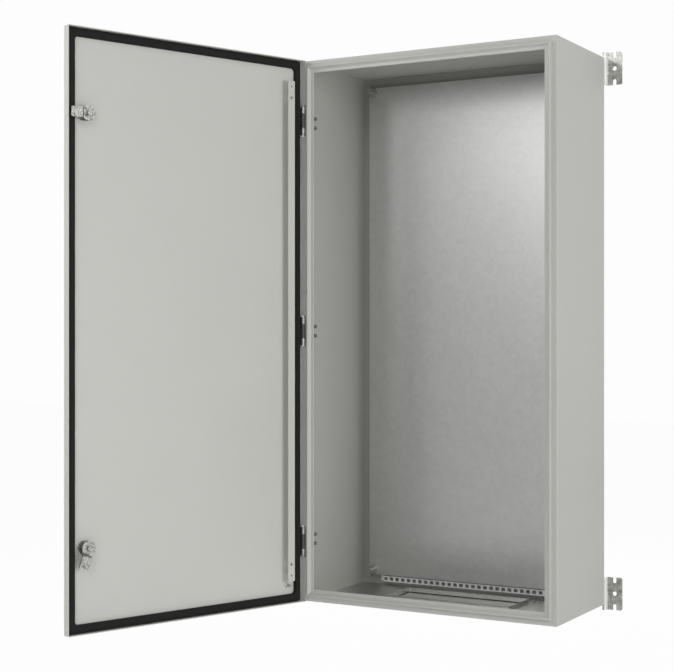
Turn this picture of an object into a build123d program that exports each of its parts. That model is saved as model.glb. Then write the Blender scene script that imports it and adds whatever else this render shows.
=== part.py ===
"""Wall-mount steel enclosure, 600 wide, 1200 high and 300 deep, with its door open.

Millimetres, +Z up, +X to the right seen from the front, +Y into the wall.
The origin is the centre of the four wall bolts, on the wall's face.
"""
import math
import os

from build123d import *

os.makedirs("parts", exist_ok=True)

# Body shell
body_w = 600.0
body_h = 1200.0
body_d = 280.5
sheet = 1.5
corner_r = 2.5
bend_r = 1.2

# Front frame, measured inward from the outer side and forward of the rim
rim_w = 12.5
collar_h = 8.0
hem = 2 * sheet
slope_end = 21.0
land_v = 1.5
land_r = 1.4
frame_w = 27.5

# Wall brackets
bracket_t = 2.5
bracket_step = 10.0
bracket_h = 72.0
bracket_leg = 46.0
bracket_leg_h = 48.0
bracket_neck = 8.0
bracket_chamfer = 3.0
bracket_out = 4.0
flange_w = 33.5
wall_hole_out = 20.5
wall_hole_d = 9.5
slot_w = 8.0
slot_depth = 13.0
bracket_inset_z = 25.0
bracket_screw_inset = 22.0

# Fasteners: thread, across flats, nut height
m8, m8_flats, m8_nut = 8.0, 13.0, 6.5
m6, m6_flats, m6_nut = 6.0, 10.0, 5.0
m5, m5_flats, m5_nut = 5.0, 8.0, 4.0
m8_head = 5.3
hole_play = 0.5
washer_t = 1.6
thread_out = 1.5
over = 1.0

# Mounting plate and its supports
plate_gap = 25.0
plate_w = body_w - 2 * plate_gap
plate_h = body_h - 2 * plate_gap
plate_t = 2.5
plate_fold = 10.0
plate_notch = 18.0
spacer_h = 14.0
spacer_d = 22.0
stud_inset = 12.0
stud_l = 38.0
plate_washer_d = 22.0

# Cable tie strip under the plate
strip_end_gap = 61.0
strip_w = body_w - 2 * strip_end_gap
strip_h = 13.0
strip_t = 1.5
strip_stand = 13.0
strip_foot = 12.0
strip_above_floor = 9.5
tie_pitch = 15.0
tie_hole_w = 9.0
tie_hole_h = 7.5
tie_hole_r = 1.0
tie_count = int((strip_w - tie_hole_w) // tie_pitch) + 1

# Cable entry in the floor
entry_w = 294.0
entry_d = 105.0
entry_from_back = 60.5
entry_from_rim = body_d - entry_from_back - entry_d
entry_lip = 8.0
gland_border = 18.0
gland_t = 2.0
gland_gasket_t = 2.0
gland_screw_edge = 8.0

# Door
door_gap = 2.5
door_depth = 17.0
door_edge_r = 1.2
opening_angle = 110.0
gasket_play = 0.3
gasket_edge = 4.5
gasket_w = 14.5
gasket_hinge_edge = 9.5
gasket_r = 8.0

# Stiffener bar on the inside of the door
bar_edge = 34.5
bar_w = 18.0
bar_h = 18.0
bar_end_gap = 50.0
bar_l = body_h - 2 * bar_end_gap
bar_sheet = 1.5
bar_foot = 8.0
bar_hole_d = 5.0
bar_slot_d = 7.0
bar_hole_from_end = 12.5
bar_hole_pitch = 24.5

# Hinges
hinge_from_end = 133.0
pin_u = 4.5
pin_v = 8.0
pin_d = 5.0
knuckle_d = 8.0
running = 0.05
centre_knuckle = 32.0
end_knuckle = 15.5
knuckle_gap = 0.3
leaf_t = 2.0
leaf_h = 60.0
leaf_r = 3.0
leaf_from_rim = 2.0
leaf_depth = 48.0
leaf_screw_depth = 44.0
leaf_screw_pitch = 21.0
leaf_slot_play = 0.3
door_leaf_t = 2.0
door_leaf_w = 8.0
door_notch = 68.0
door_notch_play = 0.2

# Quarter-turn locks
lock_edge = 45.0
lock_from_end = 170.0
lock_hole_d = 20.0
lock_flange_d = 32.0
lock_flange_t = 2.5
lock_flange_edge = 0.8
lock_barrel_d = 19.6
lock_nut_flats = 27.0
lock_nut_t = 5.0
lock_seal_t = 1.0
rotor_d = 12.0
rotor_head_d = 14.0
rotor_head_t = 3.0
key_bore_d = 9.4
key_bore_depth = 9.0
key_bit = 3.0
cam_t = 3.0
cam_behind = 0.3
cam_boss_r = 15.0
cam_len = 41.0
cam_w = 21.0
cam_tip_r = 3.0
cam_step_start = 11.5
cam_step_end = 16.5
cam_step = 4.8
cam_play = 0.2
cam_square = 7.0
cam_screw_flats = 10.0
cam_screw_t = 4.0
cam_washer_d = 14.0
cam_washer_t = 1.0
upper_cam_turn = 0.0
lower_cam_turn = -69.0

# Earth studs
earth_depth = 140.0
earth_from_floor = 80.0
earth_stud_l = 20.0
door_earth_x = 43.5
door_earth_from_end = 39.0
door_earth_l = 14.0

# Planes and places that follow from the sizes
standoff = bracket_step + bracket_t
y_back = -standoff
y_inner = y_back - sheet
y_rim = y_back - body_d
hinge_zs = [body_h / 2 - hinge_from_end, 0.0, -(body_h / 2 - hinge_from_end)]
lock_zs = [body_h / 2 - lock_from_end, -(body_h / 2 - lock_from_end)]
pin_x = -body_w / 2 + pin_u
pin_y = y_rim - pin_v
plate_back = y_inner - spacer_h
plate_front = plate_back - plate_t
bracket_z = body_h / 2 - bracket_inset_z
wall_hole_x = body_w / 2 + wall_hole_out
bracket_screw_x = body_w / 2 - bracket_screw_inset
stud_x = plate_w / 2 - stud_inset
stud_z = plate_h / 2 - stud_inset


def back_plane(y, z=0):
    """A plane facing the front of the enclosure, X to the right and Z up, at depth y and height z."""
    return Plane(origin=(0, y, z), x_dir=(1, 0, 0), z_dir=(0, -1, 0))


def finish(solid, label):
    """Name a finished piece and write it."""
    solid.label = label
    export_step(solid, "parts/" + label + ".step")


def four(x, z):
    """The four corner places of a rectangle of half sizes x and z."""
    return [(sx * x, sz * z) for sx in (-1, 1) for sz in (-1, 1)]


# Door frame: origin on the hinge pin, x along the door, y up, z out of its front face
swing = math.radians(-opening_angle)
door_dir = Vector(math.cos(swing), math.sin(swing), 0)
door_out = door_dir.cross(Vector(0, 0, 1))
door_plane = Plane(origin=(pin_x, pin_y, 0), x_dir=door_dir, z_dir=door_out)
door_x0 = -pin_u
door_back = door_gap - pin_v
door_front = door_back + door_depth
door_inner = door_front - sheet
door_mid = door_x0 + body_w / 2


def door_level(v):
    """The door's own plane, moved out to v past the hinge pin."""
    return door_plane.offset(v)


# The four walls, each folded at the front into rim, collar and inner slope
def wall_outline():
    """The folded section: first value inward from the outer side, second forward."""
    run = slope_end - (rim_w + hem)
    drop = collar_h - land_v
    slant = math.hypot(run, drop)
    back_u = rim_w + sheet
    slope_back = collar_h - (back_u - (rim_w + hem)) * drop / run - sheet * slant / run
    land_back_u = slope_end - sheet * (slant - run) / drop
    return [
        (0, -(body_d - sheet)),
        (0, 0),
        (rim_w, 0),
        (rim_w, collar_h),
        (rim_w + hem, collar_h),
        (slope_end, land_v),
        (frame_w, land_v),
        (frame_w, land_v - sheet),
        (land_back_u, land_v - sheet),
        (back_u, slope_back),
        (back_u, -sheet),
        (sheet, -sheet),
        (sheet, -(body_d - sheet)),
    ]


def folded_wall(inward, run, span, length):
    """One mitred wall. inward points into the enclosure and run along the wall."""
    inward = Vector(*inward)
    start = inward * (-span / 2) + Vector(0, y_rim, 0)
    section = Plane(origin=start, x_dir=inward, z_dir=Vector(*run))
    front = Plane(origin=start, x_dir=inward, z_dir=(0, -1, 0))
    half = length / 2
    depth = frame_w + over
    bow = corner_r * (1 - math.sqrt(0.5))
    with BuildPart() as wall:
        with BuildSketch(section) as outline:
            with BuildLine():
                Polyline(*wall_outline(), close=True)
            make_face()
            rounded = [
                (0, 0, bend_r),
                (rim_w, collar_h, bend_r),
                (rim_w + hem, collar_h, bend_r),
                (frame_w, land_v, land_r),
            ]
            for u, v, radius in rounded:
                fillet(outline.vertices().sort_by_distance((u, v, 0))[0], radius=radius)
        extrude(amount=half, both=True)
        with BuildSketch(front):
            with BuildLine():
                Polyline((bow, half - bow), (depth, half - depth), (depth, depth - half), (bow, bow - half))
                RadiusArc((bow, bow - half), (0, corner_r - half), corner_r)
                Line((0, corner_r - half), (0, half - corner_r))
                RadiusArc((0, half - corner_r), (bow, half - bow), corner_r)
            make_face()
        extrude(amount=body_d + collar_h, both=True, mode=Mode.INTERSECT)
    return wall


with BuildPart() as left_wall:
    add(folded_wall((1, 0, 0), (0, 0, -1), body_w, body_h).part)
    # slots in the rim, one for the arm of each hinge
    with BuildSketch(back_plane(y_rim)):
        with Locations(*[(-body_w / 2 + sheet + (leaf_t + leaf_slot_play) / 2, z) for z in hinge_zs]):
            Rectangle(leaf_t + leaf_slot_play, centre_knuckle + 2 * leaf_slot_play)
    extrude(amount=-(2 * sheet), mode=Mode.SUBTRACT)
finish(left_wall.part, "left_wall")

right_wall = folded_wall((-1, 0, 0), (0, 0, 1), body_w, body_h)
finish(right_wall.part, "right_wall")

top_wall = folded_wall((0, 0, -1), (-1, 0, 0), body_h, body_w)
finish(top_wall.part, "top_wall")

entry_y = y_rim + entry_from_rim + entry_d / 2
floor_z = -body_h / 2
screw_grid = [
    (x, y)
    for x in (-1, -1 / 3, 1 / 3, 1)
    for y in (-1, 1)
]
gland_screw_x = entry_w / 2 + gland_border - gland_screw_edge
gland_screw_y = entry_d / 2 + gland_border - gland_screw_edge
gland_places = [(x * gland_screw_x, y * gland_screw_y) for x, y in screw_grid]
floor_plane = Plane(origin=(0, entry_y, floor_z), x_dir=(1, 0, 0), z_dir=(0, 0, 1))

with BuildPart() as bottom_wall:
    add(folded_wall((0, 0, 1), (1, 0, 0), body_h, body_w).part)
    with BuildSketch(floor_plane):
        RectangleRounded(entry_w + 2 * sheet, entry_d + 2 * sheet, corner_r + sheet)
    extrude(amount=entry_lip + sheet)
    with BuildSketch(floor_plane):
        RectangleRounded(entry_w, entry_d, corner_r)
    extrude(amount=entry_lip + sheet, mode=Mode.SUBTRACT)
    with BuildSketch(floor_plane):
        with Locations(*gland_places):
            Circle(m6 / 2 + hole_play / 2)
    extrude(amount=sheet, mode=Mode.SUBTRACT)
finish(bottom_wall.part, "bottom_wall")

with BuildPart() as back_panel:
    with BuildSketch(back_plane(y_back)):
        RectangleRounded(body_w, body_h, corner_r)
        with Locations(*four(bracket_screw_x, bracket_z)):
            Circle(m8 / 2 + hole_play, mode=Mode.SUBTRACT)
    extrude(amount=sheet)
finish(back_panel.part, "back_panel")

# Cable entry: gasket, plate and screws under the floor
with BuildPart() as gland_gasket:
    with BuildSketch(floor_plane):
        RectangleRounded(entry_w + 2 * gland_border, entry_d + 2 * gland_border, corner_r)
        RectangleRounded(entry_w, entry_d, corner_r, mode=Mode.SUBTRACT)
        with Locations(*gland_places):
            Circle(m6 / 2 + hole_play, mode=Mode.SUBTRACT)
    extrude(amount=-gland_gasket_t)
finish(gland_gasket.part, "gland_gasket")

with BuildPart() as gland_plate:
    with BuildSketch(floor_plane.offset(-gland_gasket_t)):
        RectangleRounded(entry_w + 2 * gland_border, entry_d + 2 * gland_border, corner_r)
        with Locations(*gland_places):
            Circle(m6 / 2 + hole_play / 2, mode=Mode.SUBTRACT)
    extrude(amount=-gland_t)
finish(gland_plate.part, "gland_plate")

gland_under = floor_plane.offset(-(gland_gasket_t + gland_t))
with BuildPart() as gland_screws:
    with BuildSketch(gland_under):
        with Locations(*gland_places):
            RegularPolygon(m6_flats / 2, 6, major_radius=False)
    extrude(amount=-m6_nut)
    with BuildSketch(gland_under):
        with Locations(*gland_places):
            Circle(m6 / 2)
    extrude(amount=gland_gasket_t + gland_t + sheet + m6_nut)
finish(gland_screws.part, "gland_screws")

# Mounting plate on four welded studs
with BuildPart() as mounting_plate:
    with BuildSketch(back_plane(plate_back)):
        Rectangle(plate_w, plate_h)
        with Locations(*four(plate_w / 2, plate_h / 2)):
            Rectangle(2 * plate_notch, 2 * plate_notch, mode=Mode.SUBTRACT)
    extrude(amount=plate_t)
    with BuildSketch(back_plane(plate_back)):
        with Locations(*[(sx * (plate_w - plate_t) / 2, 0) for sx in (-1, 1)]):
            Rectangle(plate_t, plate_h - 2 * plate_notch)
    extrude(amount=-plate_fold)
    long_edges = mounting_plate.edges().filter_by(Axis.Z).group_by(Axis.Y)[0]
    fillet(long_edges.sort_by(Axis.X)[0], radius=bend_r)
    fillet(mounting_plate.edges().filter_by(Axis.Z).group_by(Axis.Y)[0].sort_by(Axis.X)[-1], radius=bend_r)
finish(mounting_plate.part, "mounting_plate")

with BuildPart() as plate_studs:
    with BuildSketch(back_plane(y_inner)):
        with Locations(*four(stud_x, stud_z)):
            Circle(m8 / 2)
    extrude(amount=stud_l)
finish(plate_studs.part, "plate_studs")

with BuildPart() as plate_spacers:
    with BuildSketch(back_plane(y_inner)):
        with Locations(*four(stud_x, stud_z)):
            Circle(spacer_d / 2)
            Circle(m8 / 2 + running, mode=Mode.SUBTRACT)
    extrude(amount=spacer_h)
finish(plate_spacers.part, "plate_spacers")

with BuildPart() as plate_washers:
    with BuildSketch(back_plane(plate_front)):
        with Locations(*four(stud_x, stud_z)):
            Circle(plate_washer_d / 2)
            Circle(m8 / 2 + running, mode=Mode.SUBTRACT)
    extrude(amount=washer_t)
finish(plate_washers.part, "plate_washers")

with BuildPart() as plate_nuts:
    with BuildSketch(back_plane(plate_front - washer_t)):
        with Locations(*four(stud_x, stud_z)):
            RegularPolygon(m8_flats / 2, 6, major_radius=False)
            Circle(m8 / 2 + running, mode=Mode.SUBTRACT)
    extrude(amount=m8_nut)
finish(plate_nuts.part, "plate_nuts")

# Perforated strip for cable ties, folded back to two feet on the back panel
strip_z = floor_z + strip_above_floor + strip_h / 2
strip_plane = Plane(origin=(0, y_inner, strip_z), x_dir=(1, 0, 0), z_dir=(0, 0, 1))
half_strip = strip_w / 2
foot_end = half_strip + strip_foot
with BuildPart() as cable_tie_strip:
    with BuildSketch(strip_plane):
        with BuildLine():
            Polyline(
                (-foot_end, 0), (strip_t - half_strip, 0), (strip_t - half_strip, strip_t - strip_stand),
                (half_strip - strip_t, strip_t - strip_stand), (half_strip - strip_t, 0), (foot_end, 0),
                (foot_end, -strip_t), (half_strip, -strip_t), (half_strip, -strip_stand),
                (-half_strip, -strip_stand), (-half_strip, -strip_t), (-foot_end, -strip_t), close=True,
            )
        make_face()
    extrude(amount=strip_h / 2, both=True)
    with BuildSketch(back_plane(y_inner - strip_stand, strip_z)):
        with GridLocations(tie_pitch, 0, tie_count, 1):
            RectangleRounded(tie_hole_w, tie_hole_h, tie_hole_r)
    extrude(amount=-strip_t, mode=Mode.SUBTRACT)
finish(cable_tie_strip.part, "cable_tie_strip")

# Wall brackets: leg on the back panel, step, flange on the wall
leg_x = body_w / 2 + bracket_out
web_x = leg_x - bracket_t
trim_w = bracket_leg - bracket_neck
trim_h = (bracket_h - bracket_leg_h) / 2
trim_x = leg_x - bracket_neck - trim_w / 2
for side_name, side in (("left", -1), ("right", 1)):
    for end_name, end in (("upper", 1), ("lower", -1)):
        bracket_plane = Plane(origin=(0, 0, end * bracket_z), x_dir=(side, 0, 0), z_dir=(0, 0, side))
        with BuildPart() as wall_bracket:
            with BuildSketch(bracket_plane) as z_section:
                with BuildLine():
                    Polyline(
                        (leg_x - bracket_leg, y_back), (leg_x, y_back), (leg_x, -bracket_t),
                        (leg_x + flange_w, -bracket_t), (leg_x + flange_w, 0), (web_x, 0),
                        (web_x, y_back + bracket_t), (leg_x - bracket_leg, y_back + bracket_t), close=True,
                    )
                make_face()
                for px, py in ((leg_x, y_back), (web_x, 0)):
                    fillet(z_section.vertices().sort_by_distance((px, py, 0))[0], radius=2 * bend_r)
            extrude(amount=bracket_h / 2, both=True)
            with BuildSketch(back_plane(0, end * bracket_z)):
                with Locations((side * wall_hole_x, 0)):
                    Circle(wall_hole_d / 2)
                with Locations(*[(side * wall_hole_x, s * bracket_h / 2) for s in (1, -1)]):
                    SlotOverall(2 * slot_depth, slot_w, rotation=90)
            extrude(amount=bracket_t, mode=Mode.SUBTRACT)
            with BuildSketch(back_plane(y_back, end * bracket_z)):
                with Locations((side * bracket_screw_x, 0)):
                    Circle(m8 / 2 + hole_play / 2)
                with Locations(*[(side * trim_x, s * (bracket_h - trim_h) / 2) for s in (1, -1)]):
                    Rectangle(trim_w, trim_h)
            extrude(amount=-bracket_t, mode=Mode.SUBTRACT)
            tips = wall_bracket.edges().filter_by(Axis.Y).group_by(Axis.X)[-1 if side > 0 else 0]
            chamfer(tips, length=bracket_chamfer)
        finish(wall_bracket.part, "wall_bracket_" + end_name + "_" + side_name)

with BuildPart() as bracket_screws:
    with BuildSketch(back_plane(y_back + bracket_t)):
        with Locations(*four(bracket_screw_x, bracket_z)):
            RegularPolygon(m8_flats / 2, 6, major_radius=False)
    extrude(amount=-m8_head)
    with BuildSketch(back_plane(y_back + bracket_t)):
        with Locations(*four(bracket_screw_x, bracket_z)):
            Circle(m8 / 2)
    extrude(amount=bracket_t + sheet + washer_t + m8_nut + thread_out)
finish(bracket_screws.part, "bracket_screws")

with BuildPart() as bracket_nuts:
    with BuildSketch(back_plane(y_inner)):
        with Locations(*four(bracket_screw_x, bracket_z)):
            Circle(m8)
            Circle(m8 / 2 + running, mode=Mode.SUBTRACT)
    extrude(amount=washer_t)
    with BuildSketch(back_plane(y_inner - washer_t)):
        with Locations(*four(bracket_screw_x, bracket_z)):
            RegularPolygon(m8_flats / 2, 6, major_radius=False)
            Circle(m8 / 2 + running, mode=Mode.SUBTRACT)
    extrude(amount=m8_nut)
finish(bracket_nuts.part, "bracket_nuts")

# Hinges: the body leaf lies on the left wall inside and reaches out through the rim
leaf_face = Plane(origin=(-body_w / 2 + sheet, 0, 0), x_dir=(0, 1, 0), z_dir=(1, 0, 0))
leaf_y = y_rim + leaf_from_rim + leaf_depth / 2
screw_y = y_rim + leaf_screw_depth
hinge_names = ("upper", "middle", "lower")
for name, z in zip(hinge_names, hinge_zs):
    leaf_screws = [(screw_y, z + s * leaf_screw_pitch / 2) for s in (-1, 1)]
    with BuildPart() as hinge_body_leaf:
        with BuildSketch(leaf_face):
            with Locations((leaf_y, z)):
                RectangleRounded(leaf_depth, leaf_h, leaf_r)
            with Locations(*leaf_screws):
                Circle(m5 / 2 + hole_play / 2, mode=Mode.SUBTRACT)
        extrude(amount=leaf_t)
        with BuildSketch(leaf_face):
            with Locations(((pin_y + leaf_y) / 2, z)):
                Rectangle(leaf_y - pin_y, centre_knuckle)
        extrude(amount=leaf_t)
        with BuildSketch(Plane(origin=(pin_x, pin_y, z), x_dir=(1, 0, 0), z_dir=(0, 0, 1))):
            Circle(knuckle_d / 2)
        extrude(amount=centre_knuckle / 2, both=True)
        with BuildSketch(Plane(origin=(pin_x, pin_y, z), x_dir=(1, 0, 0), z_dir=(0, 0, 1))):
            Circle(pin_d / 2 + running)
        extrude(amount=centre_knuckle / 2, both=True, mode=Mode.SUBTRACT)
    finish(hinge_body_leaf.part, "hinge_body_leaf_" + name)

leaf_places = [(screw_y, z + s * leaf_screw_pitch / 2) for z in hinge_zs for s in (-1, 1)]
with BuildPart() as hinge_studs:
    with BuildSketch(leaf_face):
        with Locations(*leaf_places):
            Circle(m5 / 2)
    extrude(amount=leaf_t + m5_nut + thread_out)
finish(hinge_studs.part, "hinge_studs")

with BuildPart() as hinge_nuts:
    with BuildSketch(leaf_face.offset(leaf_t)):
        with Locations(*leaf_places):
            RegularPolygon(m5_flats / 2, 6, major_radius=False)
            Circle(m5 / 2 + running, mode=Mode.SUBTRACT)
    extrude(amount=m5_nut)
finish(hinge_nuts.part, "hinge_nuts")

pin_half = centre_knuckle / 2 + knuckle_gap + end_knuckle + over
with BuildPart() as hinge_pins:
    for z in hinge_zs:
        with BuildSketch(Plane(origin=(pin_x, pin_y, z), x_dir=(1, 0, 0), z_dir=(0, 0, 1))):
            Circle(pin_d / 2)
        extrude(amount=pin_half, both=True)
finish(hinge_pins.part, "hinge_pins")

knuckle_mid = centre_knuckle / 2 + knuckle_gap + end_knuckle / 2
web_near = -knuckle_d / 2
for name, z in zip(hinge_names, hinge_zs):
    with BuildPart() as hinge_door_leaf:
        with BuildSketch(door_level(door_inner - door_leaf_t)):
            with Locations((web_near + door_leaf_w / 2, z)):
                Rectangle(door_leaf_w, 2 * (knuckle_mid + end_knuckle / 2))
        extrude(amount=door_leaf_t)
        for s in (-1, 1):
            knuckle_at = (pin_x, pin_y, z + s * knuckle_mid)
            knuckle_plane = Plane(origin=knuckle_at, x_dir=door_dir, z_dir=(0, 0, 1))
            with BuildSketch(knuckle_plane):
                Circle(knuckle_d / 2)
                with Locations((web_near + door_leaf_t / 2, -door_inner / 2)):
                    Rectangle(door_leaf_t, door_inner)
                Circle(pin_d / 2 + running, mode=Mode.SUBTRACT)
            extrude(amount=end_knuckle / 2, both=True)
    finish(hinge_door_leaf.part, "hinge_door_leaf_" + name)

# Door: a folded pan, notched at the hinges and drilled for the locks
lock_x = door_x0 + body_w - lock_edge
lock_places = [(lock_x, z) for z in lock_zs]
with BuildPart() as door_panel:
    with BuildSketch(door_level(door_back)):
        with Locations((door_mid, 0)):
            RectangleRounded(body_w, body_h, corner_r)
    extrude(amount=door_depth)
    outer_rim = door_panel.faces().sort_by(Axis(door_plane.origin, door_out))[-1].edges()
    fillet(outer_rim, radius=door_edge_r)
    with BuildSketch(door_level(door_back)):
        with Locations((door_mid, 0)):
            Rectangle(body_w - 2 * sheet, body_h - 2 * sheet)
    extrude(amount=door_depth - sheet, mode=Mode.SUBTRACT)
    with BuildSketch(door_level(door_back)):
        with Locations(*[(door_x0, z) for z in hinge_zs]):
            Rectangle(2 * (sheet + door_notch_play), door_notch)
    extrude(amount=door_depth - sheet, mode=Mode.SUBTRACT)
    with BuildSketch(door_level(door_inner)):
        with Locations(*lock_places):
            Circle(lock_hole_d / 2)
    extrude(amount=sheet, mode=Mode.SUBTRACT)
finish(door_panel.part, "door_panel")

gasket_face = collar_h + gasket_play - pin_v
gasket_left = door_x0 + gasket_hinge_edge
gasket_right = door_x0 + body_w - gasket_edge
gasket_hole_left = gasket_left + gasket_w
gasket_hole_right = gasket_right - gasket_w
gasket_half = body_h / 2 - gasket_edge
with BuildPart() as door_gasket:
    with BuildSketch(door_level(gasket_face)):
        with Locations(((gasket_left + gasket_right) / 2, 0)):
            RectangleRounded(gasket_right - gasket_left, 2 * gasket_half, corner_r)
        with Locations(((gasket_hole_left + gasket_hole_right) / 2, 0)):
            RectangleRounded(
                gasket_hole_right - gasket_hole_left,
                2 * (gasket_half - gasket_w),
                gasket_r,
                mode=Mode.SUBTRACT,
            )
    extrude(amount=door_inner - gasket_face)
finish(door_gasket.part, "door_gasket")

# Stiffener bar: folded to foot, web and flange, welded upright inside the door
bar_x = door_x0 + bar_edge
bar_plane = Plane(origin=(pin_x, pin_y, 0), x_dir=door_dir, z_dir=(0, 0, 1))
bar_top = -(door_inner - bar_h)
with BuildPart() as door_stiffener:
    with BuildSketch(bar_plane):
        with BuildLine():
            Polyline(
                (bar_x - bar_foot, -door_inner), (bar_x + bar_sheet, -door_inner),
                (bar_x + bar_sheet, bar_top - bar_sheet), (bar_x + bar_w, bar_top - bar_sheet),
                (bar_x + bar_w, bar_top), (bar_x, bar_top),
                (bar_x, bar_sheet - door_inner), (bar_x - bar_foot, bar_sheet - door_inner), close=True,
            )
        make_face()
    extrude(amount=bar_l / 2, both=True)
    near_end = bar_l / 2 - bar_hole_from_end
    with BuildSketch(door_level(door_inner - bar_h)):
        with Locations(*[(bar_x + bar_w / 2, s * near_end) for s in (-1, 1)]):
            Circle(bar_hole_d / 2)
        with Locations(*[(bar_x + bar_w / 2, s * (near_end - bar_hole_pitch)) for s in (-1, 1)]):
            Circle(bar_slot_d / 2)
    extrude(amount=bar_sheet, mode=Mode.SUBTRACT)
finish(door_stiffener.part, "door_stiffener")

# Quarter-turn locks: housing through the door, nut and seal, and a turning rotor with its cam
cam_top = -(cam_behind + sheet) - pin_v
cam_foot = cam_top - cam_t
boss_top = cam_top + cam_step
barrel_end = boss_top + cam_play
for name, z, turn in zip(("upper", "lower"), lock_zs, (upper_cam_turn, lower_cam_turn)):
    lock_origin = door_plane.from_local_coords((lock_x, z, 0))
    lock_plane = Plane(origin=lock_origin, x_dir=door_dir, z_dir=door_out)
    turned = math.radians(turn)
    cam_dir = door_dir * math.cos(turned) + Vector(0, 0, 1) * math.sin(turned)
    cam_plane = Plane(origin=lock_origin, x_dir=cam_dir, z_dir=door_out)

    with BuildPart() as lock_housing:
        with BuildSketch(lock_plane.offset(door_front)):
            Circle(lock_flange_d / 2)
        extrude(amount=lock_flange_t)
        rim_edge = lock_housing.faces().sort_by(Axis(lock_origin, door_out))[-1].edges()
        chamfer(rim_edge, length=lock_flange_edge)
        with BuildSketch(lock_plane.offset(barrel_end)):
            Circle(lock_barrel_d / 2)
        extrude(amount=door_front - barrel_end)
        with BuildSketch(lock_plane.offset(barrel_end)):
            Circle(rotor_d / 2 + running)
        extrude(amount=door_front + lock_flange_t - barrel_end, mode=Mode.SUBTRACT)
        with BuildSketch(lock_plane.offset(door_front + lock_flange_t)):
            Circle(rotor_head_d / 2 + running)
        extrude(amount=-rotor_head_t, mode=Mode.SUBTRACT)
    finish(lock_housing.part, "lock_housing_" + name)

    with BuildPart() as lock_seal:
        with BuildSketch(lock_plane.offset(door_inner)):
            Circle(lock_nut_flats / 2)
            Circle(lock_barrel_d / 2 + running, mode=Mode.SUBTRACT)
        extrude(amount=-lock_seal_t)
    finish(lock_seal.part, "lock_seal_" + name)

    with BuildPart() as lock_nut:
        with BuildSketch(lock_plane.offset(door_inner - lock_seal_t)):
            RegularPolygon(lock_nut_flats / 2, 6, major_radius=False)
            Circle(lock_barrel_d / 2 + running, mode=Mode.SUBTRACT)
        extrude(amount=-lock_nut_t)
    finish(lock_nut.part, "lock_nut_" + name)

    rotor_front = door_front + lock_flange_t
    with BuildPart() as lock_rotor:
        with BuildSketch(cam_plane.offset(barrel_end)):
            Circle(rotor_d / 2)
        extrude(amount=rotor_front - barrel_end)
        with BuildSketch(cam_plane.offset(rotor_front)):
            Circle(rotor_head_d / 2)
        extrude(amount=-(rotor_head_t - running))
        with BuildSketch(cam_plane.offset(rotor_front)):
            Circle(key_bore_d / 2)
            Rectangle(key_bore_d, key_bit, mode=Mode.SUBTRACT)
        extrude(amount=-key_bore_depth, mode=Mode.SUBTRACT)
        with BuildSketch(cam_plane.offset(barrel_end)):
            Rectangle(cam_square, cam_square)
        extrude(amount=boss_top - cam_t - barrel_end)
    finish(lock_rotor.part, "lock_rotor_" + name)

    profile_plane = Plane(origin=lock_origin, x_dir=cam_dir, z_dir=cam_dir.cross(door_out))
    with BuildPart() as lock_cam:
        with BuildSketch(profile_plane):
            with BuildLine():
                Polyline(
                    (-cam_boss_r, boss_top), (cam_step_start, boss_top), (cam_step_end, cam_top),
                    (cam_len, cam_top), (cam_len, cam_foot), (cam_step_end, cam_foot),
                    (cam_step_start, boss_top - cam_t), (-cam_boss_r, boss_top - cam_t), close=True,
                )
            make_face()
        extrude(amount=cam_boss_r, both=True)
        with BuildSketch(cam_plane.offset(cam_foot - over)) as plan:
            Circle(cam_boss_r)
            with Locations((cam_len / 2, 0)):
                Rectangle(cam_len, cam_w)
            Rectangle(cam_square + running, cam_square + running, mode=Mode.SUBTRACT)
            tip = [(cam_len, s * cam_w / 2, 0) for s in (-1, 1)]
            fillet([plan.vertices().sort_by_distance(p)[0] for p in tip], radius=cam_tip_r)
        extrude(amount=boss_top - cam_foot + 2 * over, mode=Mode.INTERSECT)
    finish(lock_cam.part, "lock_cam_" + name)

    with BuildPart() as cam_screw:
        with BuildSketch(cam_plane.offset(boss_top - cam_t)):
            Circle(cam_washer_d / 2)
        extrude(amount=-cam_washer_t)
        with BuildSketch(cam_plane.offset(boss_top - cam_t - cam_washer_t)):
            RegularPolygon(cam_screw_flats / 2, 6, major_radius=False)
        extrude(amount=-cam_screw_t)
    finish(cam_screw.part, "cam_screw_" + name)

# Earth studs, one on the right wall and one on the door
earth_z = floor_z + earth_from_floor
earth_y = y_rim + earth_depth
earth_face = Plane(origin=(body_w / 2 - sheet, earth_y, earth_z), x_dir=(0, 1, 0), z_dir=(-1, 0, 0))
with BuildPart() as earth_stud:
    with BuildSketch(earth_face):
        Circle(m8 / 2)
    extrude(amount=earth_stud_l)
finish(earth_stud.part, "earth_stud")

with BuildPart() as earth_nut:
    with BuildSketch(earth_face):
        Circle(m8)
        Circle(m8 / 2 + running, mode=Mode.SUBTRACT)
    extrude(amount=washer_t)
    with BuildSketch(earth_face.offset(washer_t)):
        RegularPolygon(m8_flats / 2, 6, major_radius=False)
        Circle(m8 / 2 + running, mode=Mode.SUBTRACT)
    extrude(amount=m8_nut)
finish(earth_nut.part, "earth_nut")

door_earth = (door_x0 + door_earth_x, door_earth_from_end - body_h / 2)
with BuildPart() as door_earth_stud:
    with BuildSketch(door_level(door_inner)):
        with Locations(door_earth):
            Circle(m6 / 2)
    extrude(amount=-door_earth_l)
finish(door_earth_stud.part, "door_earth_stud")

with BuildPart() as door_earth_nut:
    with BuildSketch(door_level(door_inner)):
        with Locations(door_earth):
            RegularPolygon(m6_flats / 2, 6, major_radius=False)
            Circle(m6 / 2 + running, mode=Mode.SUBTRACT)
    extrude(amount=-m6_nut)
finish(door_earth_nut.part, "door_earth_nut")
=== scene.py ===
import math

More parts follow.
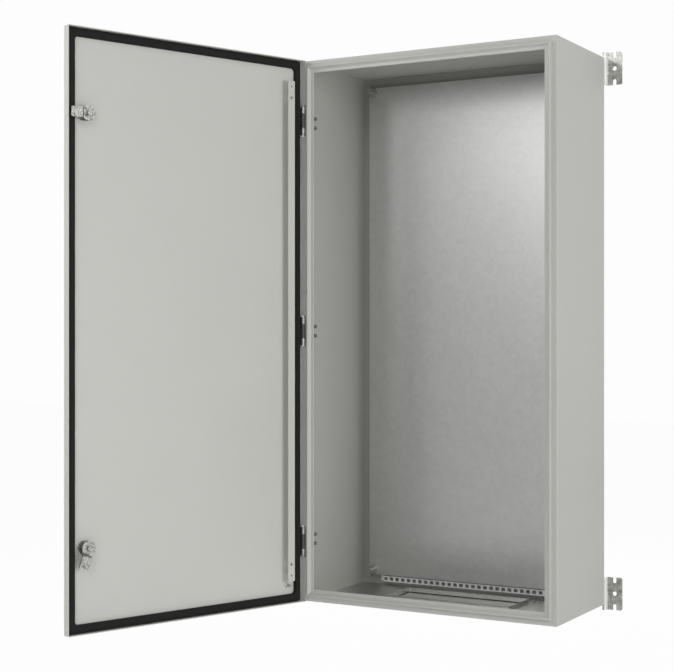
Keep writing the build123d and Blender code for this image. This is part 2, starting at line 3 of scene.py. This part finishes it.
import bpy
import numpy as np
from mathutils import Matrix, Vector


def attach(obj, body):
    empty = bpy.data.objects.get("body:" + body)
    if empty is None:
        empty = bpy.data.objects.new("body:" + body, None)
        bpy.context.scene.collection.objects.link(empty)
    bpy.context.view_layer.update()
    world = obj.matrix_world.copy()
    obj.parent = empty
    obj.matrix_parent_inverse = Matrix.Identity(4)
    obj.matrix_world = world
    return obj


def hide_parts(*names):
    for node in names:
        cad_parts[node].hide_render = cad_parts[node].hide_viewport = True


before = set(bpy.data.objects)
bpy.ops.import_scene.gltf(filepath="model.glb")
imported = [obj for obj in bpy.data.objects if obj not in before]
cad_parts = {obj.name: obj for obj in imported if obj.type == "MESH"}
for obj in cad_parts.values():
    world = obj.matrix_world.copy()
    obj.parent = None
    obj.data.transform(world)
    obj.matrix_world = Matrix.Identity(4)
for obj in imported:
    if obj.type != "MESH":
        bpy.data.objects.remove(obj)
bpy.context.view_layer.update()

# Walls and door. Folded from steel sheet and powder coated light grey all over, which leaves a
# fine orange-peel texture and a faint unevenness where the coat lies thicker. The door's stiffener
# and earth nut are coated with it. The door has the walls' paint, but its greys are set lighter,
# as painted light.
cloud_scale = 4.0
peel_scale = 520.0
grain_scale = 1900.0
peel_depth = 0.00012
wall_dark, wall_light = (0.54, 0.545, 0.512), (0.556, 0.561, 0.527)
# The door's greys are lighter than the walls' as painted light; it is the same paint.
door_lit_dark, door_lit_light = (0.63, 0.635, 0.597), (0.644, 0.649, 0.61)


class Ink:
    """A socket in a material. Arithmetic on it adds Math nodes, and node() adds any other."""

    def __init__(self, tree, socket):
        self.tree = tree
        self.socket = socket

    def node(self, kind, settings=None, sockets=None, out=0):
        """Adds a node of this kind with its settings, a ramp's stops among them, and links its sockets."""
        node = self.tree.nodes.new(kind)
        for key, value in (settings or {}).items():
            if key == "stops":
                for stop, (place, level) in zip(node.color_ramp.elements, value):
                    stop.position = place
                    stop.color = (level, level, level, 1.0)
            else:
                setattr(node, key, value)
        for key, value in (sockets or {}).items():
            if isinstance(value, Ink):
                self.tree.links.new(value.socket, node.inputs[key])
            elif hasattr(node.inputs[key].default_value, "__len__") and len(value) == 3:
                size = len(node.inputs[key].default_value)
                node.inputs[key].default_value = (*value, 1.0)[:size]
            else:
                node.inputs[key].default_value = value
        return Ink(self.tree, node.outputs[out])

    def maths(self, operation, *values):
        """A Math node with this operation on sockets or numbers."""
        return self.node("ShaderNodeMath", {"operation": operation}, dict(enumerate(values)))

    def __add__(self, other):
        return self.maths("ADD", self, other)

    def __radd__(self, other):
        return self.maths("ADD", other, self)

    def __sub__(self, other):
        return self.maths("SUBTRACT", self, other)

    def __rsub__(self, other):
        return self.maths("SUBTRACT", other, self)

    def __mul__(self, other):
        return self.maths("MULTIPLY", self, other)

    def __rmul__(self, other):
        return self.maths("MULTIPLY", other, self)

    def __gt__(self, other):
        return self.maths("GREATER_THAN", self, other)

    def __lt__(self, other):
        return self.maths("LESS_THAN", self, other)

    def __abs__(self):
        return self.maths("ABSOLUTE", self)

    def axis(self, letter):
        """The x, y or z of a vector."""
        return self.node("ShaderNodeSeparateXYZ", None, {0: self}, out="xyz".index(letter))

    def noise(self, scale, detail):
        return self.node("ShaderNodeTexNoise", None, {"Vector": self, "Scale": scale, "Detail": detail})

    def stretched(self, x, y, z):
        return self.node("ShaderNodeMapping", None, {"Vector": self, "Scale": (x, y, z)})

    def spread(self):
        """The middle of a noise's range, 0.35 to 0.65, stretched to run from 0 to 1."""
        stops = ((0.35, 0.0), (0.65, 1.0))
        return self.node("ShaderNodeValToRGB", {"stops": stops}, {"Fac": self})

    def blend(self, low, high):
        """Goes from the colour low to the colour high as this value goes from 0 to 1."""
        return self.node("ShaderNodeMix", {"data_type": "RGBA"}, {0: self, 6: low, 7: high}, out=2)


def new_finish(name):
    """An empty material with its Principled shader, and the Object coordinates to work from."""
    finish = bpy.data.materials.new(name)
    finish.use_nodes = True
    tree = finish.node_tree
    shader = tree.nodes["Principled BSDF"]
    place = tree.nodes.new("ShaderNodeTexCoord").outputs["Object"]
    return finish, shader, Ink(tree, place)


def apply_finish(shader, place, colour, rough, relief, depth, strength, metallic=0.0):
    """Gives the shader its colour, roughness, metal share and relief, whose depth is in metres."""
    bump = place.node("ShaderNodeBump", None, {"Height": relief, "Distance": depth, "Strength": strength})
    surface = {"Base Color": colour, "Roughness": rough, "Normal": bump, "Metallic": metallic}
    for key, value in surface.items():
        if isinstance(value, Ink):
            place.tree.links.new(value.socket, shader.inputs[key])
        else:
            shader.inputs[key].default_value = value


def powder_coat(name, dark, light):
    """Powder coat in clouds of two greys, its relief made of coarse peel and fine grain."""
    finish, shader, place = new_finish(name)
    cloud = place.noise(cloud_scale, 4.0).spread()
    peel = place.noise(peel_scale, 2.0)
    grain = place.noise(grain_scale, 1.0)
    rough = 0.4 + 0.08 * cloud + 0.06 * grain
    relief = peel + 0.4 * grain
    apply_finish(shader, place, cloud.blend(dark, light), rough, relief, depth=peel_depth, strength=0.5)
    shader.inputs["Specular IOR Level"].default_value = 0.45
    return finish


def dress(finish, *nodes):
    """Puts a finish on every material slot of these CAD nodes."""
    for node in nodes:
        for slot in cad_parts[node].material_slots:
            slot.material = finish


dress(powder_coat("shell_powder_coat", wall_dark, wall_light), "left_wall", "right_wall", "top_wall")
dress(
    powder_coat("door_powder_coat", door_lit_dark, door_lit_light),
    "door_panel", "door_stiffener", "door_earth_nut",
)

# Floor and back. The floor is bare galvanised sheet inside the box and mirrors the strip above it,
# and the inside of the back is painted darker, as painted shade behind the plate and strip. Outside
# both are coated like the walls. The finish changes in the middle of the sheet's thickness, behind
# the front frame and over the upturned edge.
shell_tone = (0.548, 0.553, 0.52)
painted_shade_tone = (0.33, 0.33, 0.315)
bare_dark, bare_light = (0.48, 0.48, 0.46), (0.66, 0.66, 0.635)
floor_middle = -0.5992
over_edge = -0.588
frame_back = -0.279
back_middle = -0.0132

finish, shader, place = new_finish("floor_coat")
height = place.axis("z")
bare = (place.axis("y") > frame_back) * (height > floor_middle) * (height < over_edge)
brushed = place.stretched(240.0, 6.0, 240.0).noise(1.0, 3.0)
peel = place.noise(peel_scale, 2.0)
apply_finish(
    shader, place,
    colour=bare.blend(shell_tone, brushed.blend(bare_dark, bare_light)),
    rough=0.44 - 0.18 * bare + 0.08 * brushed,
    relief=peel - 0.8 * bare * peel,
    depth=0.00008,
    strength=0.5,
    metallic=0.95 * bare,
)
dress(finish, "bottom_wall")

finish, shader, place = new_finish("back_coat")
# The inner face of the back gets a darker grey as painted shade.
painted_shade_inside = place.axis("y") < back_middle
peel = place.noise(peel_scale, 2.0)
colour = painted_shade_inside.blend(shell_tone, painted_shade_tone)
apply_finish(shader, place, colour, 0.42 + 0.08 * peel, peel, depth=0.0001, strength=0.5)
dress(finish, "back_panel")

# Mounting plate and the blank plate under the floor. Galvanised sheet: the zinc has a soft spangle
# and the rolling leaves faint upright streaks.
zinc_dark, zinc_light = (0.55, 0.55, 0.545), (0.62, 0.62, 0.615)
spangle_scale = 95.0

finish, shader, place = new_finish("galvanised_sheet")
spangle = place.node(
    "ShaderNodeTexVoronoi", {"feature": "F1"},
    {"Vector": place, "Scale": spangle_scale, "Randomness": 1.0}, out=1,
)
spangle = spangle.node("ShaderNodeSeparateColor", None, {0: spangle})
streak = place.stretched(260.0, 260.0, 5.0).noise(1.0, 3.0)
tone = 0.5 * spangle + 0.5 * streak
rough = 0.33 + 0.05 * streak + 0.03 * spangle
colour = tone.blend(zinc_dark, zinc_light)
apply_finish(shader, place, colour, rough, tone, depth=0.00001, strength=0.3, metallic=1.0)
dress(finish, "mounting_plate", "gland_plate")

# Fasteners. Pressed and turned steel with a zinc plating that has gone a little dull, slightly
# mottled, with fine tool marks. The hinge screws are greyer and less metallic.
marks_scale = 1500.0


def plated(name, dark, light, rough, metallic=0.9, scale=180.0, depth=0.00004):
    """Plated steel between two colours, its roughness and relief following the same mottling."""
    finish, shader, place = new_finish(name)
    mottle = place.noise(scale, 3.0)
    relief = mottle + 0.3 * place.noise(marks_scale, 2.0)
    colour = mottle.spread().blend(dark, light)
    rough = rough + 0.16 * mottle
    apply_finish(shader, place, colour, rough, relief, depth, strength=0.5, metallic=metallic)
    return finish


dress(
    plated("dull_zinc", (0.34, 0.34, 0.32), (0.5, 0.5, 0.475), rough=0.36),
    "gland_screws", "plate_studs", "plate_spacers", "plate_washers", "plate_nuts",
    "bracket_screws", "bracket_nuts", "earth_stud", "earth_nut", "door_earth_stud",
)
dress(
    plated("grey_steel", (0.25, 0.25, 0.24), (0.36, 0.36, 0.345), rough=0.45, metallic=0.4),
    "hinge_studs", "hinge_nuts",
)

# Cable tie strip. A strip of sheet with punched holes and a pale zinc coat, brighter than the
# plate above it. Its feet are fixed to the back.
dress(
    plated("strip_zinc", (0.8, 0.8, 0.79), (0.9, 0.9, 0.885), rough=0.45, metallic=0.2),
    "cable_tie_strip",
)

# Wall brackets. Pressed from thick sheet, zinc plated with a coarse mottling, and screwed to the
# back. The step between leg and flange is painted near white and less metallic, as a painted highlight.
bracket_dark, bracket_light = (0.33, 0.33, 0.31), (0.55, 0.55, 0.525)
painted_highlight_tone = (0.92, 0.92, 0.9)
step_start = 0.3
step_end = 0.3043

finish, shader, place = new_finish("bracket_zinc")
aside = abs(place.axis("x"))
step_highlight = (aside > step_start) * (aside < step_end)
mottle = place.noise(120.0, 3.0)
relief = mottle + 0.3 * place.noise(marks_scale, 2.0)
# The step's near-white colour is a painted highlight.
colour = step_highlight.blend(mottle.spread().blend(bracket_dark, bracket_light), painted_highlight_tone)
rough = 0.22 + 0.16 * mottle
metallic = 0.95 - 0.75 * step_highlight
apply_finish(shader, place, colour, rough, relief, depth=0.00004, strength=0.5, metallic=metallic)
for end in ("upper", "lower"):
    dress(finish, "wall_bracket_" + end + "_left", "wall_bracket_" + end + "_right")

# Hinges. Door leaves and pins are zinc plated. The body's leaves are painted with it inside,
# and their knuckles in front of the rim are a mottled near black.
rim_front = -0.2935
knuckle_dark, knuckle_light = (0.03, 0.03, 0.03), (0.09, 0.09, 0.085)

dress(
    plated(
        "hinge_plating", (0.22, 0.22, 0.21), (0.46, 0.46, 0.44), rough=0.34, scale=240.0, depth=0.0001
    ),
    "hinge_door_leaf_upper", "hinge_door_leaf_middle", "hinge_door_leaf_lower", "hinge_pins",
)
finish, shader, place = new_finish("body_leaf_coat")
inside = place.axis("y") > rim_front
knuckle_mottle = place.noise(300.0, 2.0)
colour = inside.blend(knuckle_mottle.blend(knuckle_dark, knuckle_light), shell_tone)
apply_finish(shader, place, colour, 0.4 + 0.15 * knuckle_mottle, knuckle_mottle, depth=0.00003, strength=0.5)
dress(finish, "hinge_body_leaf_upper", "hinge_body_leaf_middle", "hinge_body_leaf_lower")

# Lock housings and rotors. Die cast, nickel plated and lightly tumbled, each housing held in the
# door by its nut.
nickel_dark, nickel_light = (0.56, 0.55, 0.53), (0.66, 0.65, 0.63)

finish, shader, place = new_finish("nickel_plating")
tumble = place.noise(900.0, 2.0)
rough = 0.2 + 0.14 * tumble
colour = tumble.blend(nickel_dark, nickel_light)
apply_finish(shader, place, colour, rough, tumble, depth=0.00002, strength=0.4, metallic=1.0)
for end in ("upper", "lower"):
    dress(finish, "lock_housing_" + end, "lock_rotor_" + end)

# Lock cams with their nuts and screws. Pressed steel, zinc plated, with a rough mottled skin. A
# screw holds each cam on the square end of its rotor.
dress(
    plated("cam_zinc", (0.13, 0.13, 0.125), (0.5, 0.5, 0.48), rough=0.34, scale=260.0, depth=0.00035),
    "lock_cam_upper", "lock_cam_lower", "cam_screw_upper", "cam_screw_lower",
    "lock_nut_upper", "lock_nut_lower",
)

# Door gasket. A closed bead of black foam, poured on the inside of the door next to its edge:
# its face is crowned and a little wavy, and its skin is finely pitted. The seals of the floor's
# plate and of the locks are of the same foam.
foam_dark, foam_light = (0.008, 0.008, 0.008), (0.024, 0.024, 0.023)
hinge_axis = np.array([-0.2955, -0.301, 0.0])
door_angle = math.radians(-110.0)
along_door = np.array([math.cos(door_angle), math.sin(door_angle), 0.0])
out_of_door = np.array([along_door[1], -along_door[0], 0.0])
foam_foot = 0.010
foam_crown = 0.0006
per_corner = 8
per_side = 150
per_section = 15

foam, shader, place = new_finish("foam_skin")
pores = place.noise(1100.0, 3.0)
lumps = place.noise(90.0, 2.0)
rough = 0.75 + 0.2 * lumps
colour = pores.blend(foam_dark, foam_light)
apply_finish(shader, place, colour, rough, pores + 2.0 * lumps, depth=0.00025, strength=0.6)
shader.inputs["Specular IOR Level"].default_value = 0.2
dress(foam, "gland_gasket", "lock_seal_upper", "lock_seal_lower")


def on_door(across, height, out):
    """The hinge axis plus metres across the door, up from its middle and out of its front face."""
    across, height, out = np.broadcast_arrays(across, height, out)
    upright = np.array([0.0, 0.0, 1.0])
    return (
        hinge_axis
        + across[..., None] * along_door
        + height[..., None] * upright
        + out[..., None] * out_of_door
    )


def rounded_loop(left, right, half, radius):
    """A loop round a rectangle, anticlockwise from the lower right.

    Each corner is a quarter circle about its centre, and each side runs straight from its end."""
    turn = np.linspace(0.0, math.pi / 2, per_corner, endpoint=False)
    share = np.linspace(0.0, 1.0, per_side, endpoint=False)[:, None]
    centres = np.array([
        (right - radius, -half + radius), (right - radius, half - radius),
        (left + radius, half - radius), (left + radius, -half + radius),
    ])
    parts = []
    for k, centre in enumerate(centres):
        angle = turn + (k - 1) * math.pi / 2
        arc = centre + radius * np.stack([np.cos(angle), np.sin(angle)], axis=-1)
        last = k * math.pi / 2
        start = centre + radius * np.array([math.cos(last), math.sin(last)])
        side = share * (centres[(k + 1) % 4] - centre)
        parts += [arc, start + side]
    return np.concatenate(parts)


def closed_ring(name, points, finish):
    """A smooth mesh on a grid of points, joined to itself both round the ring and round its section."""
    rows, cols = points.shape[:2]
    u, v = np.meshgrid(np.arange(rows), np.arange(cols), indexing="ij")
    next_u, next_v = (u + 1) % rows, (v + 1) % cols
    ring = [u * cols + v, next_u * cols + v, next_u * cols + next_v, u * cols + next_v]
    faces = np.stack(ring, axis=-1).reshape(-1, 4)
    mesh = bpy.data.meshes.new(name)
    mesh.from_pydata(points.reshape(-1, 3).tolist(), [], faces.tolist())
    mesh.shade_smooth()
    mesh.materials.append(finish)
    piece = bpy.data.objects.new(name, mesh)
    bpy.context.scene.collection.objects.link(piece)
    return piece


# The bead's section runs from the outer loop to the inner one. It rises from the foot, on the door's
# sheet, to the crown as a power of a sine, steep at both edges, and the crown wavers along the loop.
outer = rounded_loop(left=0.005, right=0.591, half=0.5978, radius=0.003)
inner = rounded_loop(left=0.0195, right=0.5748, half=0.581, radius=0.008)
section = np.linspace(0.0, math.pi, per_section)
across = (1.0 - np.cos(section)) / 2
swell = np.sin(section) ** 0.3
loop_step = np.arange(len(outer))
waver = 0.00018 * np.sin(0.37 * loop_step) + 0.00012 * np.sin(0.91 * loop_step + 1.0)
plan = outer[:, None] + (inner - outer)[:, None] * across[None, :, None]
rise = foam_foot - (foam_foot - foam_crown - waver[:, None]) * swell[None, :]
gasket = closed_ring("foam_gasket", on_door(plan[..., 0], plan[..., 1], rise), foam)
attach(gasket, "door")
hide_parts("door_gasket")

# Studio. A pale floor well under the hanging box and a white surround, soft lamps, a grey card that
# only the metal mirrors, and the camera: level, to the right, at the middle of the box's height.
floor_level = -1.05
floor_reach = 14.0
ambient = 0.3
white = (1.0, 1.0, 1.0)


def set_surface(place, shader):
    """Makes this shader the whole material's surface."""
    place.tree.links.new(shader.socket, place.tree.nodes["Material Output"].inputs["Surface"])


def studio_sheet(name, corners, finish):
    """One flat face between four corners that belongs to the studio, not to the object."""
    mesh = bpy.data.meshes.new(name)
    mesh.from_pydata(corners, [], [(0, 1, 2, 3)])
    mesh.materials.append(finish)
    sheet = bpy.data.objects.new(name, mesh)
    bpy.context.scene.collection.objects.link(sheet)
    return sheet


def soft_lamp(name, place, aim, size, power, sheen_only=False):
    """A rectangular lamp at place, turned to shine at aim. A sheen lamp is seen in reflections alone."""
    lamp = bpy.data.lights.new(name, "AREA")
    lamp.shape = "RECTANGLE"
    lamp.size, lamp.size_y = size
    lamp.energy = power
    holder = bpy.data.objects.new(name, lamp)
    way = Vector(aim) - Vector(place)
    holder.location = place
    holder.rotation_euler = way.to_track_quat("-Z", "Y").to_euler()
    holder.visible_camera = False
    holder.visible_diffuse = not sheen_only
    bpy.context.scene.collection.objects.link(holder)


pale, shader, place = new_finish("pale_floor")
shader.inputs["Base Color"].default_value = (0.9, 0.9, 0.9, 1.0)
shader.inputs["Roughness"].default_value = 0.9
sight = place.node("ShaderNodeLightPath")
glow = place.node("ShaderNodeEmission", None, {"Color": white, "Strength": 1.0})
matt = Ink(place.tree, shader.outputs[0])
set_surface(place, place.node("ShaderNodeMixShader", None, {0: 0.96 * sight, 1: matt, 2: glow}))
floor_corners = [
    (x * floor_reach, y * floor_reach, floor_level) for x, y in ((-1, -1), (1, -1), (1, 1), (-1, 1))
]
studio_sheet("floor", floor_corners, pale)

grey, shader, place = new_finish("card_grey")
set_surface(place, place.node("ShaderNodeEmission", None, {"Color": white, "Strength": 0.45}))
card_corners = [(-4.2, -2.6, -2.4), (0.5, -4.4, -2.4), (0.5, -4.4, 3.0), (-4.2, -2.6, 3.0)]
card = studio_sheet("grey_card", card_corners, grey)
card.visible_camera = False
card.visible_diffuse = False
card.visible_shadow = False

world = bpy.data.worlds.new("white_surround")
bpy.context.scene.world = world
world.use_nodes = True
tree = world.node_tree
tree.nodes.clear()
rays = tree.nodes.new("ShaderNodeLightPath")
camera_ray, glossy, clear = (
    Ink(tree, rays.outputs[kind]) for kind in ("Is Camera Ray", "Is Glossy Ray", "Is Transmission Ray")
)
seen = camera_ray.maths("MAXIMUM", camera_ray, glossy.maths("MAXIMUM", glossy, clear))
strength = ambient + (1.0 - ambient) * seen
backdrop = seen.node("ShaderNodeBackground", None, {"Color": (0.982, 0.982, 0.982), "Strength": strength})
surround = tree.nodes.new("ShaderNodeOutputWorld")
tree.links.new(backdrop.socket, surround.inputs["Surface"])

soft_lamp("sheen_softbox", (-0.85, -3.4, 1.0), (0.2, 0.0, 0.4), size=(0.4, 0.8), power=6.4, sheen_only=True)
soft_lamp("right_softbox", (3.6, -1.2, 0.1), (0.0, -0.4, 0.0), size=(1.6, 1.6), power=47.0)
soft_lamp("left_softbox", (-2.4, -2.2, 1.6), (0.0, -0.3, 0.3), size=(1.6, 1.6), power=36.0)
soft_lamp("front_softbox", (0.5, -2.9, 0.0), (-0.3, -0.4, 0.0), size=(1.0, 1.6), power=6.0)
soft_lamp("high_softbox", (0.9, -4.0, 1.9), (0.0, -0.3, 0.1), size=(1.8, 1.2), power=18.0)
soft_lamp("back_softbox", (-1.2, 3.6, 1.2), (0.0, 0.0, 0.0), size=(1.8, 1.8), power=45.0)

view = bpy.data.cameras.new("photo_view")
view.sensor_width = 36.0
view.lens = 78.6
view.shift_y = -0.003
camera = bpy.data.objects.new("photo_view", view)
camera.location = (1.3862, -3.1033, -0.0064)
camera.rotation_euler = (math.radians(90.0), 0.0, math.radians(29.65))
bpy.context.scene.collection.objects.link(camera)
bpy.context.scene.camera = camera
bpy.context.scene.view_settings.view_transform = "Standard"
